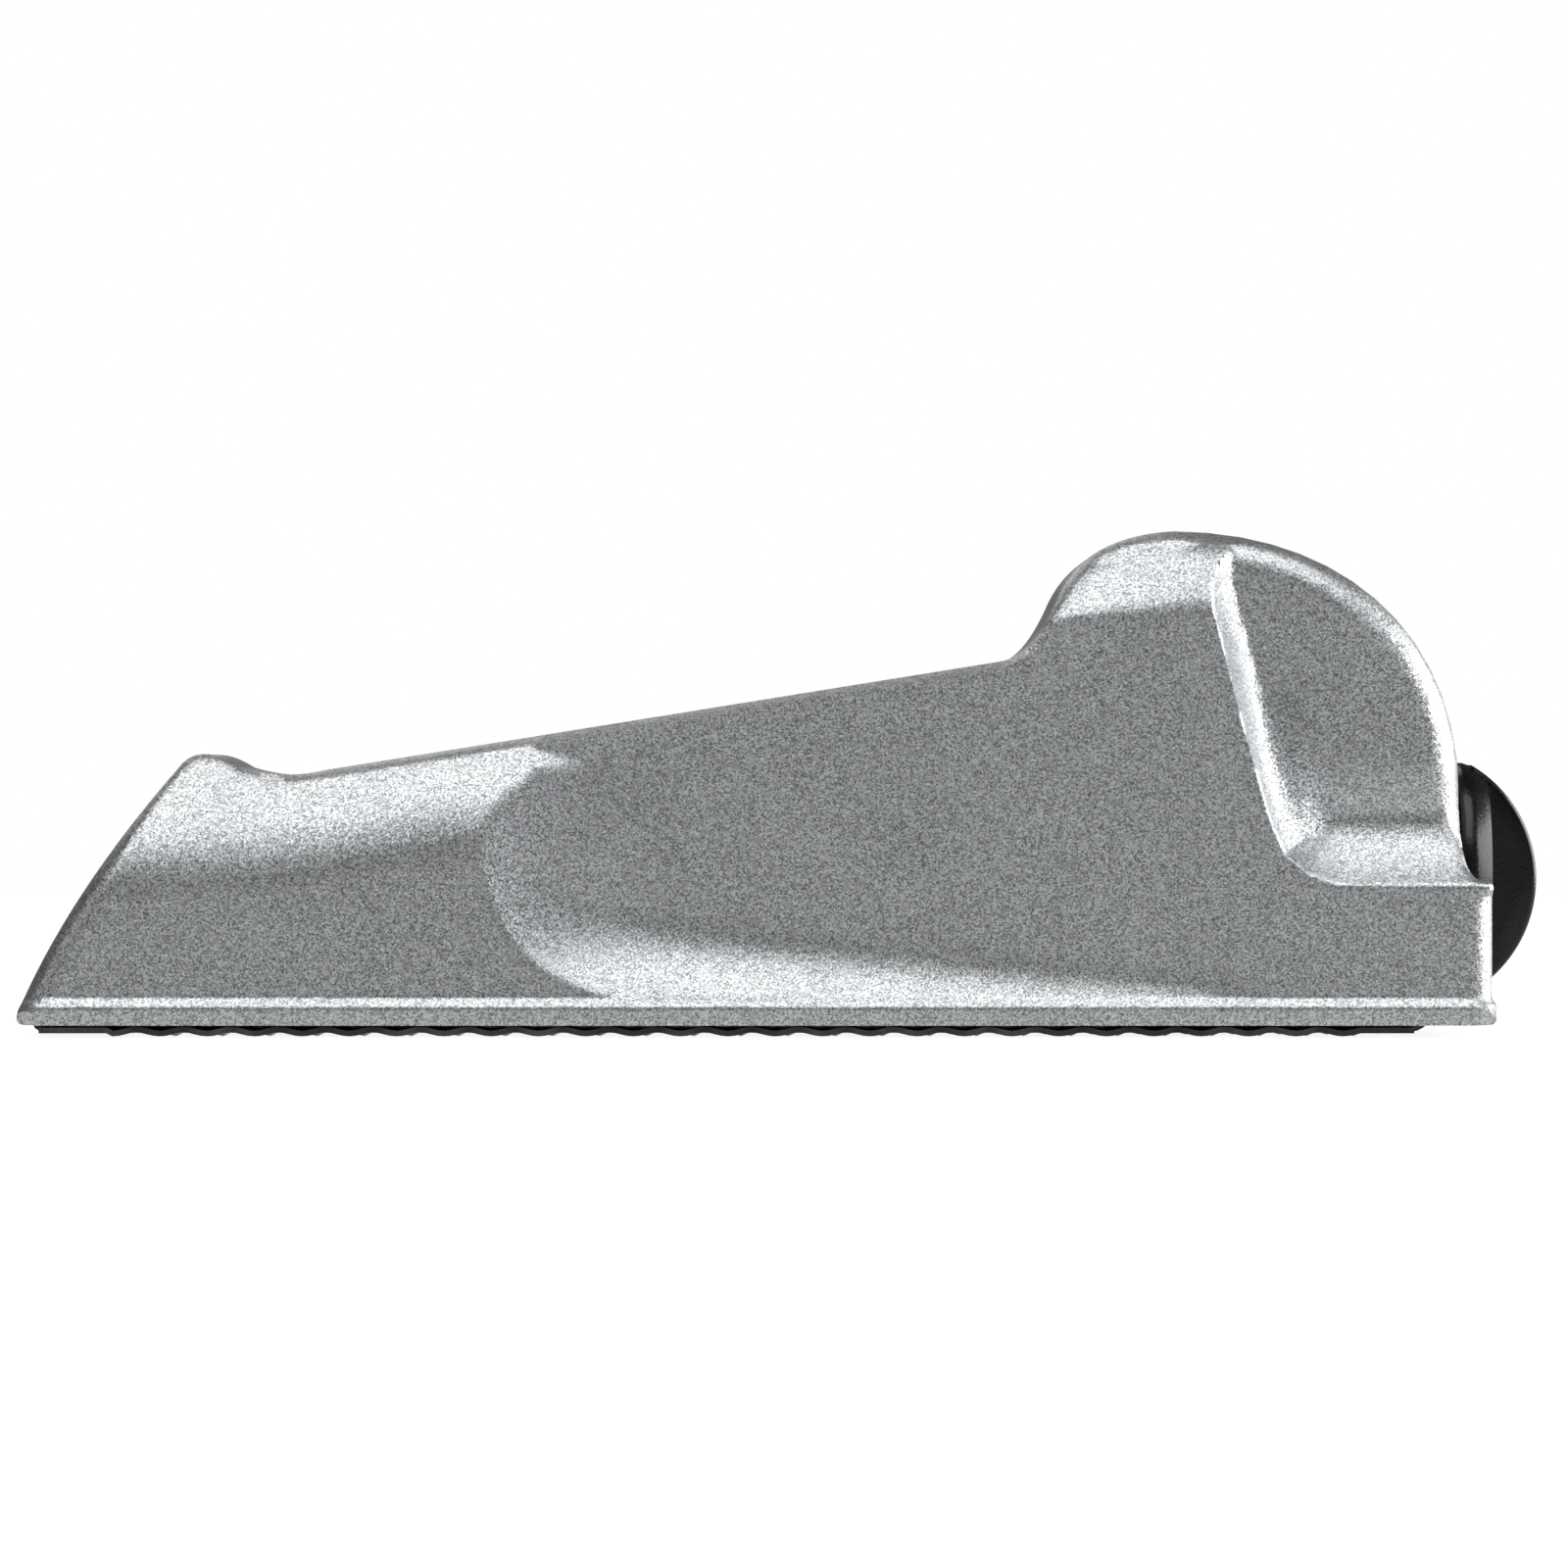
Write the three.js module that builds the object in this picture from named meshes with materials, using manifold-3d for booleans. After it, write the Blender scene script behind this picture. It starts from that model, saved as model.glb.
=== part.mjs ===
// Pocket rasp plane: hollow cast body, perforated rasp blade, and a wing knob that tensions the blade.
// Millimetres. +X runs from toe to heel, +Z is up, and the blade's underside is at Z = 0.
import * as THREE from 'three';
import { mergeVertices } from 'three/addons/utils/BufferGeometryUtils.js';
import Module from 'manifold-3d';

const wasm = await Module();
wasm.setup();
const { Manifold } = wasm;

// Overall sizes
const bodyHeight = 50.5;        // blade underside to the top of the palm dome
const skirtWidth = 42;
const gap = 0.3;                // between pieces that touch

// Body
const wall = 2.5;
const skirtStep = 0.7;          // how far the skirt stands out of the side
const skirtEndStep = 0.4;       // and out of the toe and heel
const skirtHeight = 2.7;
const edgeRound = 1;
const rearCornerRadius = 2;
const frontCornerRadius = 3;
const nubX = 18.3;              // finger nub at the toe
const nubHeight = 28.2;
const dipHeight = 26.15;
const slopeStartX = 30.5;       // straight sloping top between the nub and the dome
const slopeStartHeight = 26.6;
const slopeEndX = 97.9;
const slopeEndHeight = 37.4;
const domeTopX = 115.4;
const heelBlockLength = 3.3;    // how far the heel block stands out behind the rear wall
const heelBlockHeight = 15.6;
const heelFlare = 4.7;          // height of the fillet above the heel block
const toeShoulderHeight = 14;   // the toe's sides lean in above this
const toeShoulderInset = 4.5;
const domeShoulderHeight = 39;  // and so do the front sides of the dome

// Finger scoop in each side
const scoopStartX = 45.9;
const scoopEndX = 125;
const scoopDepth = 4.3;         // at the front end, fading to nothing at the rear end
const scoopFillet = 4.2;

// Recessed palm panel in each side of the dome
const panelTopX = 118.3;
const panelFootX = 131.2;
const panelDepth = 4.3;
const panelFillet = 3.6;
const domeEdgeRound = 4.2;

// Hollow inside
const hollowWidth = 27;
const pocketWidth = 34.6;       // the wider hollows under the toe and the heel
const pocketHeight = 12.4;
const toePocketEndX = 43;
const heelPocketStartX = 112;
const ribThickness = 2.4;
const ribHeight = 5;
const ribPlaces = [46, 72, 98];
const windowStartX = 42;
const windowEndX = 86;
const windowWidth = 17;

// Blade
const bladeLength = 139.7;
const bladeWidth = 41;
const bladeThickness = 0.9;
const bladeStartX = 1.5;
const frontBendHeight = 3;
const frontBendWidth = 34;
const rearCurlHeight = 6;
const rearCurlReach = 2.4;
const rearCurlWidth = 30;
const curlRadius = 2.2;
const toothPitch = 4.7;
const toothRows = 7;
const toothRowSpacing = 5.2;
const toothHole = 2.4;
const plainFrontLength = 8;
const plainRearLength = 8;

// Knob and tension gear
const knobAxisHeight = 15.6;
const knobRadius = 11.75;
const knobRim = 1.3;
const knobBase = 3.3;           // back face to the foot of the wing
const knobLength = 8.3;
const wingThickness = 6.4;
const recessClearance = 0.9;    // around the knob in the heel block
const screwRadius = 3;
const screwOverrun = 1.9;       // screw left in front of the nut when the hook is fully forward
const shankInset = 0.8;         // how far the round shank stops short of the wing's foot
const spadeLength = 3.4;        // the screw's flattened head inside the wing
const spadeWidth = 8;
const spadeThickness = 3;
const washerRadius = 6;
const washerThickness = 0.8;
const ringRadius = 5.5;
const ringThickness = 0.7;
const hookThickness = 2.5;
const hookWidth = 24;
const hookHeight = 21;
const hookSetback = 2.3;        // the upright plate's distance in front of the blade's curl
const nutSize = 10;
const nutThickness = 4.5;
const earThickness = 1.5;
const hookTravel = 5;           // room the hook has to slide forward

const bladeEndX = bladeStartX + bladeLength;
const rearWallInnerX = bladeEndX + gap;
const rearWallX = rearWallInnerX + wall;
const bodyLength = rearWallX + heelBlockLength;
const bodyWidth = skirtWidth - 2 * skirtStep;
const bodyBottom = bladeThickness + gap;
const skirtTop = bodyBottom + skirtHeight;
const knobBackX = rearWallX + gap;
const shankEndX = knobBackX + knobBase - shankInset;
const ringEndX = rearWallInnerX - gap;
const hookFootEndX = bladeEndX - bladeThickness - gap;
const hookPlateEndX = bladeEndX - rearCurlReach - hookSetback;
const hookPlateStartX = hookPlateEndX - hookThickness;
const nutStartX = hookPlateStartX - gap - nutThickness;
const screwEndX = nutStartX - hookTravel - screwOverrun;
const segments = 8;             // straight pieces in each curved stretch

// ---- helpers -------------------------------------------------------------

function toManifold(geometry) {
  const bare = geometry.index ? geometry.toNonIndexed() : geometry.clone();
  bare.deleteAttribute('normal');
  bare.deleteAttribute('uv');
  const merged = mergeVertices(bare, 1e-4);
  const vertProperties = new Float32Array(merged.attributes.position.array);
  const triVerts = new Uint32Array(merged.index.array);
  return new Manifold(new wasm.Mesh({ numProp: 3, vertProperties, triVerts }));
}

function toGeometry(solid) {
  const mesh = solid.getMesh();
  const geometry = new THREE.BufferGeometry();
  geometry.setAttribute('position', new THREE.BufferAttribute(new Float32Array(mesh.vertProperties), 3));
  geometry.setIndex(new THREE.BufferAttribute(new Uint32Array(mesh.triVerts), 1));
  geometry.computeVertexNormals();
  return geometry;
}

// A side outline (x, z) given a width across the body, with its edges rounded.
function slab(shape, width, round = 0, rounds = 3) {
  const geometry = new THREE.ExtrudeGeometry(shape, {
    depth: width - 2 * round,
    bevelEnabled: round > 0,
    bevelSize: round,
    bevelThickness: round,
    bevelOffset: -round,
    bevelSegments: rounds,
    curveSegments: segments,
  });
  geometry.rotateX(Math.PI / 2);
  geometry.translate(0, width / 2 - round, 0);
  return toManifold(geometry);
}

// A plan outline (x, y) raised from one height to another.
function column(shape, bottom, top) {
  const geometry = new THREE.ExtrudeGeometry(shape, {
    depth: top - bottom,
    bevelEnabled: false,
    curveSegments: segments,
  });
  geometry.translate(0, 0, bottom);
  return toManifold(geometry);
}

function block(x0, x1, width, z0, z1) {
  const geometry = new THREE.BoxGeometry(x1 - x0, width, z1 - z0);
  geometry.translate((x0 + x1) / 2, 0, (z0 + z1) / 2);
  return toManifold(geometry);
}

// A cylinder along X on the knob's axis.
function rod(radius, x0, x1, sides = 32) {
  const geometry = new THREE.CylinderGeometry(radius, radius, x1 - x0, sides);
  geometry.rotateZ(Math.PI / 2);
  geometry.translate((x0 + x1) / 2, 0, knobAxisHeight);
  return toManifold(geometry);
}

function roundedRectangle(x0, x1, width, frontRadius, rearRadius) {
  const half = width / 2;
  const shape = new THREE.Shape();
  shape.moveTo(x0 + frontRadius, -half);
  shape.lineTo(x1 - rearRadius, -half);
  shape.absarc(x1 - rearRadius, rearRadius - half, rearRadius, -Math.PI / 2, 0);
  shape.absarc(x1 - rearRadius, half - rearRadius, rearRadius, 0, Math.PI / 2);
  shape.absarc(x0 + frontRadius, half - frontRadius, frontRadius, Math.PI / 2, Math.PI);
  shape.absarc(x0 + frontRadius, frontRadius - half, frontRadius, Math.PI, Math.PI * 1.5);
  return shape;
}

function polygon(...points) {
  return new THREE.Shape(points.map(([x, y]) => new THREE.Vector2(x, y)));
}

// Moves every edge of an anticlockwise outline inwards by one distance.
function inset(points, distance) {
  const count = points.length;
  const normals = points.map((point, i) => {
    const along = points[(i + 1) % count].clone().sub(point).normalize();
    return new THREE.Vector2(-along.y, along.x);
  });
  return points.map((point, i) => {
    const before = normals[(i + count - 1) % count];
    const corner = before.clone().add(normals[i]);
    return corner.multiplyScalar(distance / (1 + before.dot(normals[i]))).add(point);
  });
}

const mirrored = (solid) => Manifold.union(solid, solid.mirror([0, 1, 0]));

// ---- body ----------------------------------------------------------------

// The back of the palm dome, from its top down to the rear wall.
function domeCurve(outline) {
  outline.bezierCurveTo(
    domeTopX + 16, bodyHeight, rearWallX, bodyHeight - 9.3, rearWallX, bodyHeight - 26.5);
}

// The body's side outline, clockwise from the toe's foot, with or without the heel block.
function sideOutline(bottom, withHeelBlock) {
  const outline = new THREE.Shape();
  outline.moveTo(skirtEndStep, bottom);
  outline.lineTo(skirtEndStep, skirtTop - 1);
  outline.quadraticCurveTo(nubX - 13, nubHeight - 13.7, nubX - 2.4, nubHeight - 1.3);
  outline.quadraticCurveTo(nubX - 0.5, nubHeight + 1.3, nubX + 3.5, nubHeight - 1.3);
  outline.quadraticCurveTo(slopeStartX - 4.3, dipHeight - 0.6, slopeStartX, slopeStartHeight);
  outline.lineTo(slopeEndX, slopeEndHeight);
  outline.quadraticCurveTo(slopeEndX + 3.3, slopeEndHeight + 0.5, slopeEndX + 5.8, slopeEndHeight + 6.5);
  outline.quadraticCurveTo(slopeEndX + 8.6, bodyHeight - 0.5, domeTopX, bodyHeight);
  domeCurve(outline);
  if (withHeelBlock) {
    outline.lineTo(rearWallX, heelBlockHeight + heelFlare);
    outline.quadraticCurveTo(rearWallX + 0.1, heelBlockHeight + 0.6, rearWallX + 1.6, heelBlockHeight);
    outline.lineTo(bodyLength - skirtEndStep, heelBlockHeight);
    outline.lineTo(bodyLength - skirtEndStep, bottom);
  } else {
    outline.lineTo(rearWallX, bottom);
  }
  return outline;
}

function fingerScoop() {
  const outer = bodyWidth / 2;
  const reach = 12;
  const outline = new THREE.Shape();
  outline.moveTo(scoopStartX + 4, bodyHeight);
  outline.lineTo(scoopStartX + 3.4, heelBlockHeight + 16);
  outline.quadraticCurveTo(scoopStartX, heelBlockHeight + 8, scoopStartX, heelBlockHeight);
  outline.quadraticCurveTo(scoopStartX + 0.4, skirtTop + 3, scoopStartX + 9, skirtTop + 0.3);
  outline.lineTo(scoopEndX, skirtTop + 0.3);
  outline.lineTo(scoopEndX, bodyHeight + 2);
  const slope = Math.atan(scoopDepth / (scoopEndX - scoopStartX));
  return slab(outline, 2 * reach, scoopFillet, 4)
    .translate([-scoopStartX, -reach, 0])
    .rotate([0, 0, (-slope * 180) / Math.PI])
    .translate([scoopStartX, scoopDepth - outer, 0]);
}

function palmPanelOutline(offset) {
  const outline = new THREE.Shape();
  outline.moveTo(panelTopX + offset, bodyHeight + 8);
  outline.lineTo(panelTopX + offset, bodyHeight - 5.5);
  outline.lineTo(panelFootX - 6.5 + offset, heelBlockHeight + 6);
  outline.quadraticCurveTo(
    panelFootX - 4.6 + offset, heelBlockHeight + offset, panelFootX + offset, heelBlockHeight + offset);
  outline.lineTo(bodyLength + 8, heelBlockHeight + offset);
  outline.lineTo(bodyLength + 8, bodyHeight + 8);
  return outline;
}

function palmPanel() {
  const reach = 12;
  return slab(palmPanelOutline(0), 2 * reach, panelFillet, 4)
    .translate([0, panelDepth - bodyWidth / 2 - reach, 0]);
}

// What is left of the dome's rear once its outer edge is rounded.
function roundedDome() {
  const outline = new THREE.Shape();
  outline.moveTo(slopeEndX, -bodyHeight);
  outline.lineTo(slopeEndX, bodyHeight);
  outline.lineTo(domeTopX, bodyHeight);
  domeCurve(outline);
  outline.lineTo(rearWallX, -bodyHeight);
  const rounded = slab(outline, bodyWidth - 2 * panelDepth, domeEdgeRound, 4);
  const everythingElse = Manifold.difference(
    block(-1, bodyLength + 1, skirtWidth + 2, 0, bodyHeight + 1),
    slab(palmPanelOutline(panelFillet), skirtWidth + 4));
  return Manifold.union(rounded, everythingElse);
}

// Cuts the upper corners between two places so that the sides lean in towards the top.
function shoulder(x0, x1, startHeight, topHeight, lean) {
  const half = bodyWidth / 2;
  const outline = new THREE.Shape();
  outline.moveTo(half + 2, startHeight);
  outline.lineTo(half, startHeight);
  const bendHeight = topHeight - 0.4 * (topHeight - startHeight);
  outline.quadraticCurveTo(half - 0.4, bendHeight, half - lean, topHeight + 1);
  outline.lineTo(half - lean, topHeight + 30);
  outline.lineTo(half + 2, topHeight + 30);
  const geometry = new THREE.ExtrudeGeometry(outline, {
    depth: x1 - x0,
    bevelEnabled: false,
    curveSegments: segments,
  });
  geometry.rotateX(Math.PI / 2);
  geometry.rotateZ(Math.PI / 2);
  geometry.translate(x0, 0, 0);
  return mirrored(toManifold(geometry));
}

function hollow() {
  const outline = inset(sideOutline(-wall - 1, false).getPoints(segments).reverse(), wall);
  const shape = new THREE.Shape(outline);
  const pockets = Manifold.union(
    block(0, toePocketEndX, pocketWidth, -1, pocketHeight),
    block(heelPocketStartX, bodyLength, pocketWidth, -1, pocketHeight));
  const wide = Manifold.intersection(slab(shape, pocketWidth), pockets);
  const toeBlock = block(-1, bladeStartX + 4, skirtWidth, -2, frontBendHeight + 2);
  return Manifold.union(slab(shape, hollowWidth), wide).subtract(toeBlock);
}

function knobRecess() {
  const radius = knobRadius + recessClearance;
  const round = rod(radius, rearWallX, bodyLength + 1, 48);
  const open = block(rearWallX, bodyLength + 1, 2 * radius, knobAxisHeight, bodyHeight);
  return Manifold.union(round, open);
}

function bodyCasting() {
  const plan = roundedRectangle(
    skirtEndStep, bodyLength - skirtEndStep, bodyWidth, frontCornerRadius, rearCornerRadius);
  const skirtPlan = roundedRectangle(
    0, bodyLength, skirtWidth, frontCornerRadius + skirtStep, rearCornerRadius + skirtStep);
  let solid = slab(sideOutline(-wall, true), bodyWidth, edgeRound);
  solid = solid.intersect(column(plan, bodyBottom + skirtStep, bodyHeight + 1));
  solid = solid.subtract(shoulder(-1, scoopStartX + 5, toeShoulderHeight, nubHeight, toeShoulderInset));
  solid = solid.subtract(shoulder(slopeEndX, panelTopX + 5, domeShoulderHeight, bodyHeight, panelDepth));
  solid = solid.subtract(mirrored(fingerScoop()));
  solid = solid.subtract(mirrored(palmPanel()));
  solid = solid.intersect(roundedDome());
  solid = solid.add(column(skirtPlan, bodyBottom, skirtTop));
  solid = solid.subtract(hollow());
  for (const x of ribPlaces) {
    solid = solid.add(block(x, x + ribThickness, hollowWidth + 2, bodyBottom, bodyBottom + ribHeight));
  }
  const window = roundedRectangle(
    windowStartX, windowEndX, windowWidth, windowWidth / 2 - 0.01, windowWidth / 2 - 0.01);
  solid = solid.subtract(column(window, ribHeight + 8, bodyHeight));
  const groove = block(
    bladeStartX - gap, bladeStartX + bladeThickness + gap, frontBendWidth + 2 * gap,
    -1, frontBendHeight + gap);
  solid = solid.subtract(groove);
  solid = solid.subtract(knobRecess());
  return solid.subtract(rod(screwRadius + gap, rearWallInnerX - 1, rearWallX + 1));
}

// ---- blade ---------------------------------------------------------------

function raspBlade() {
  const t = bladeThickness;
  const sheet = roundedRectangle(bladeStartX, bladeEndX - curlRadius, bladeWidth, 1, 1);
  let solid = column(sheet, 0, t);
  const curl = new THREE.Shape();
  curl.moveTo(bladeEndX - curlRadius - 1, 0);
  curl.lineTo(bladeEndX - curlRadius, 0);
  curl.absarc(bladeEndX - curlRadius, curlRadius, curlRadius, -Math.PI / 2, 0);
  curl.lineTo(bladeEndX, rearCurlHeight);
  curl.lineTo(bladeEndX - rearCurlReach, rearCurlHeight);
  curl.lineTo(bladeEndX - rearCurlReach, rearCurlHeight - t);
  curl.lineTo(bladeEndX - t, rearCurlHeight - t);
  curl.lineTo(bladeEndX - t, curlRadius);
  curl.absarc(bladeEndX - curlRadius, curlRadius, curlRadius - t, 0, -Math.PI / 2, true);
  curl.lineTo(bladeEndX - curlRadius - 1, t);
  solid = solid.add(slab(curl, rearCurlWidth));
  solid = solid.add(block(bladeStartX, bladeStartX + t, frontBendWidth, 0, frontBendHeight));
  const firstTooth = bladeStartX + plainFrontLength;
  const lastTooth = bladeEndX - plainRearLength;
  const holes = [];
  for (let row = 0; row < toothRows; row += 1) {
    const y = (row - (toothRows - 1) / 2) * toothRowSpacing;
    const stagger = (row % 2) * toothPitch / 2;
    for (let x = firstTooth + stagger; x < lastTooth; x += toothPitch) {
      const half = toothHole / 2;
      const diamond = polygon([x - half, y], [x, y - half], [x + half, y], [x, y + half]);
      holes.push(column(diamond, -1, t + 1));
    }
  }
  return solid.subtract(Manifold.union(holes));
}

// ---- knob and tension gear -------------------------------------------------

function wingKnob() {
  const endX = knobBackX + knobLength;
  const sphereRadius = (knobRadius ** 2 + (knobLength - knobRim) ** 2) / (2 * (knobLength - knobRim));
  const centreX = endX - sphereRadius;
  const rimAngle = Math.asin(knobRadius / sphereRadius);
  const outline = new THREE.Shape();
  outline.moveTo(knobBackX, -knobRadius);
  outline.lineTo(knobBackX + knobRim, -knobRadius);
  outline.absarc(centreX, 0, sphereRadius, -rimAngle, rimAngle);
  outline.lineTo(knobBackX, knobRadius);
  const profile = [];
  const footAngle = Math.acos((knobBackX + knobBase - centreX) / sphereRadius);
  profile.push(new THREE.Vector2(0, knobBackX), new THREE.Vector2(knobRadius, knobBackX));
  for (let i = 0; i <= segments; i += 1) {
    const angle = rimAngle + ((footAngle - rimAngle) * i) / segments;
    const reach = sphereRadius * Math.sin(angle);
    profile.push(new THREE.Vector2(reach, centreX + sphereRadius * Math.cos(angle)));
  }
  profile.push(new THREE.Vector2(0, knobBackX + knobBase));
  const base = new THREE.LatheGeometry(profile, 48);
  base.rotateZ(-Math.PI / 2);
  base.translate(0, 0, knobAxisHeight);
  const wing = slab(outline, wingThickness, 0.5, 2).translate([0, 0, knobAxisHeight]);
  let solid = Manifold.union(toManifold(base), wing);
  solid = solid.subtract(rod(screwRadius + gap / 2, knobBackX - 1, shankEndX));
  solid = solid.subtract(rod(washerRadius + gap, knobBackX - 1, knobBackX + washerThickness + gap));
  const spade = block(
    shankEndX - 0.5, shankEndX + spadeLength + gap, spadeThickness + gap,
    knobAxisHeight - spadeWidth / 2 - gap / 2, knobAxisHeight + spadeWidth / 2 + gap / 2);
  return solid.subtract(spade);
}

function tensionScrew() {
  const shank = rod(screwRadius, screwEndX, shankEndX - gap / 2, 24);
  const spade = block(
    shankEndX - 0.5 + gap / 2, shankEndX + spadeLength, spadeThickness,
    knobAxisHeight - spadeWidth / 2, knobAxisHeight + spadeWidth / 2);
  return shank.add(spade);
}

function ringOnScrew(radius, x0, x1) {
  return rod(radius, x0, x1, 32).subtract(rod(screwRadius + gap / 2, x0 - 1, x1 + 1, 24));
}

function tensionHook() {
  const plateBottom = bladeThickness + gap;
  const plate = block(hookPlateStartX, hookPlateEndX, hookWidth, plateBottom, plateBottom + hookHeight);
  const footTop = rearCurlHeight - bladeThickness - gap;
  const foot = block(hookPlateEndX - 1, hookFootEndX, hookWidth, curlRadius, footTop);
  const earInner = nutSize / 2 + gap;
  const earBlock = block(
    nutStartX, hookPlateStartX + 0.5, 2 * (earInner + earThickness),
    knobAxisHeight - nutSize / 2, knobAxisHeight + nutSize / 2);
  const earSpace = block(
    nutStartX - 1, hookPlateStartX, 2 * earInner, knobAxisHeight - nutSize, knobAxisHeight + nutSize);
  const solid = Manifold.union([plate, foot, earBlock.subtract(earSpace)]);
  return solid.subtract(rod(screwRadius + gap, hookPlateStartX - 1, hookPlateEndX + 1, 24));
}

function squareNut() {
  const nut = block(
    nutStartX, nutStartX + nutThickness, nutSize,
    knobAxisHeight - nutSize / 2, knobAxisHeight + nutSize / 2);
  return nut.subtract(rod(screwRadius + gap / 2, nutStartX - 1, nutStartX + nutThickness + 1, 24));
}

// ---- assembly --------------------------------------------------------------

const paint = new THREE.MeshStandardMaterial({ color: 0x7f8486, roughness: 0.42, metalness: 0.7 });
const blackenedSteel = new THREE.MeshStandardMaterial({ color: 0x1d1b1c, roughness: 0.45, metalness: 0.85 });
const platedSteel = new THREE.MeshStandardMaterial({ color: 0xa9abad, roughness: 0.32, metalness: 1 });
const springSteel = new THREE.MeshStandardMaterial({ color: 0x54575c, roughness: 0.4, metalness: 1 });
const blackPlastic = new THREE.MeshStandardMaterial({ color: 0x0d0d0e, roughness: 0.22, metalness: 0 });

const plane = new THREE.Group();
plane.name = 'pocket_rasp_plane';
const overallLength = knobBackX + knobLength;

function place(name, solid, material) {
  const mesh = new THREE.Mesh(toGeometry(solid), material);
  mesh.name = name;
  mesh.position.set(-overallLength / 2, 0, 0);
  plane.add(mesh);
}

place('body_casting', bodyCasting(), paint);
place('rasp_blade', raspBlade(), blackenedSteel);
place('wing_knob', wingKnob(), blackPlastic);
place('tension_screw', tensionScrew(), platedSteel);
place('thrust_washer', ringOnScrew(washerRadius, knobBackX, knobBackX + washerThickness), platedSteel);
place('retaining_ring', ringOnScrew(ringRadius, ringEndX - ringThickness, ringEndX), springSteel);
place('tension_hook', tensionHook(), platedSteel);
place('square_nut', squareNut(), platedSteel);

export default plane;
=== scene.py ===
import math

import bmesh
import bpy
import numpy as np
from mathutils import Matrix, Vector


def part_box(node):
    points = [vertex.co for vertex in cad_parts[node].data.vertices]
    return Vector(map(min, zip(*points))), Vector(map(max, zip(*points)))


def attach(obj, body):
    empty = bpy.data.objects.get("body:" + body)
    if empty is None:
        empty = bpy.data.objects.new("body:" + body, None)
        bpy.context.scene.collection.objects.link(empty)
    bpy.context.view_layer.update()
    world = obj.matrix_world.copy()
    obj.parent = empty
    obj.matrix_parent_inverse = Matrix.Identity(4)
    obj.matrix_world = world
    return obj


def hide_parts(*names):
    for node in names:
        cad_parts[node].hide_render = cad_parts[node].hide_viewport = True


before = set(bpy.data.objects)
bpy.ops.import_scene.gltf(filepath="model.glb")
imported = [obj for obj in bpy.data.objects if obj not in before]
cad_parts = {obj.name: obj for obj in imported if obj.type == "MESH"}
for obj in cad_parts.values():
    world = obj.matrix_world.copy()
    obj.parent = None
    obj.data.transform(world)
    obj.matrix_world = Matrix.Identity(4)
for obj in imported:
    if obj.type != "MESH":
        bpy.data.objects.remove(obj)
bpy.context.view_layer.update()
mm = 0.001
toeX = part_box("body_casting")[0].x  # the toe's foot, from which all lengths are measured


def plainObject(name, bm):
    mesh = bpy.data.meshes.new(name)
    bm.to_mesh(mesh)
    bm.free()
    obj = bpy.data.objects.new(name, mesh)
    bpy.context.scene.collection.objects.link(obj)
    return obj


def newPiece(name, bm, body, node):
    obj = plainObject(name, bm)
    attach(obj, body)
    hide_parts(node)
    return obj


def applyModifiers(obj):
    bpy.context.view_layer.update()
    graph = bpy.context.evaluated_depsgraph_get()
    done = bpy.data.meshes.new_from_object(obj.evaluated_get(graph))
    old = obj.data
    obj.modifiers.clear()
    obj.data = done
    bpy.data.meshes.remove(old)


def combine(obj, tools, operation):
    # cut each tool out of the object, or join it on, and throw the tools away
    for tool in tools:
        step = obj.modifiers.new("combine", "BOOLEAN")
        step.operation = operation
        step.solver = "MANIFOLD"
        step.object = tool
    applyModifiers(obj)
    for tool in tools:
        bpy.data.objects.remove(tool)


def smoothShade(obj, angle=35):
    bm = bmesh.new()
    bm.from_mesh(obj.data)
    for face in bm.faces:
        face.smooth = True
    for edge in bm.edges:
        edge.smooth = len(edge.link_faces) < 2 or edge.calc_face_angle(0) < math.radians(angle)
    bm.to_mesh(obj.data)
    bm.free()


def everything(bm):
    return bm.verts[:] + bm.edges[:] + bm.faces[:]


def place(bm):
    # millimetres from the toe into the shared frame
    matrix = Matrix.Translation((toeX, 0, 0)) @ Matrix.Scale(mm, 4)
    bmesh.ops.transform(bm, matrix=matrix, verts=bm.verts[:])


def pushOut(bm, vector):
    # a flat face grown into a solid
    far = bmesh.ops.extrude_face_region(bm, geom=bm.faces[:])["geom"]
    bmesh.ops.translate(bm, vec=vector, verts=[v for v in far if isinstance(v, bmesh.types.BMVert)])
    bmesh.ops.recalc_face_normals(bm, faces=bm.faces[:])


def cutPlane(bm, point, normal, faces=None):
    if faces is None:
        geometry = everything(bm)
    else:
        edges = {edge for face in faces for edge in face.edges}
        verts = {vert for face in faces for vert in face.verts}
        geometry = list(verts) + list(edges) + list(faces)
    bmesh.ops.bisect_plane(bm, geom=geometry, dist=1e-7, plane_co=point, plane_no=normal)


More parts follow.
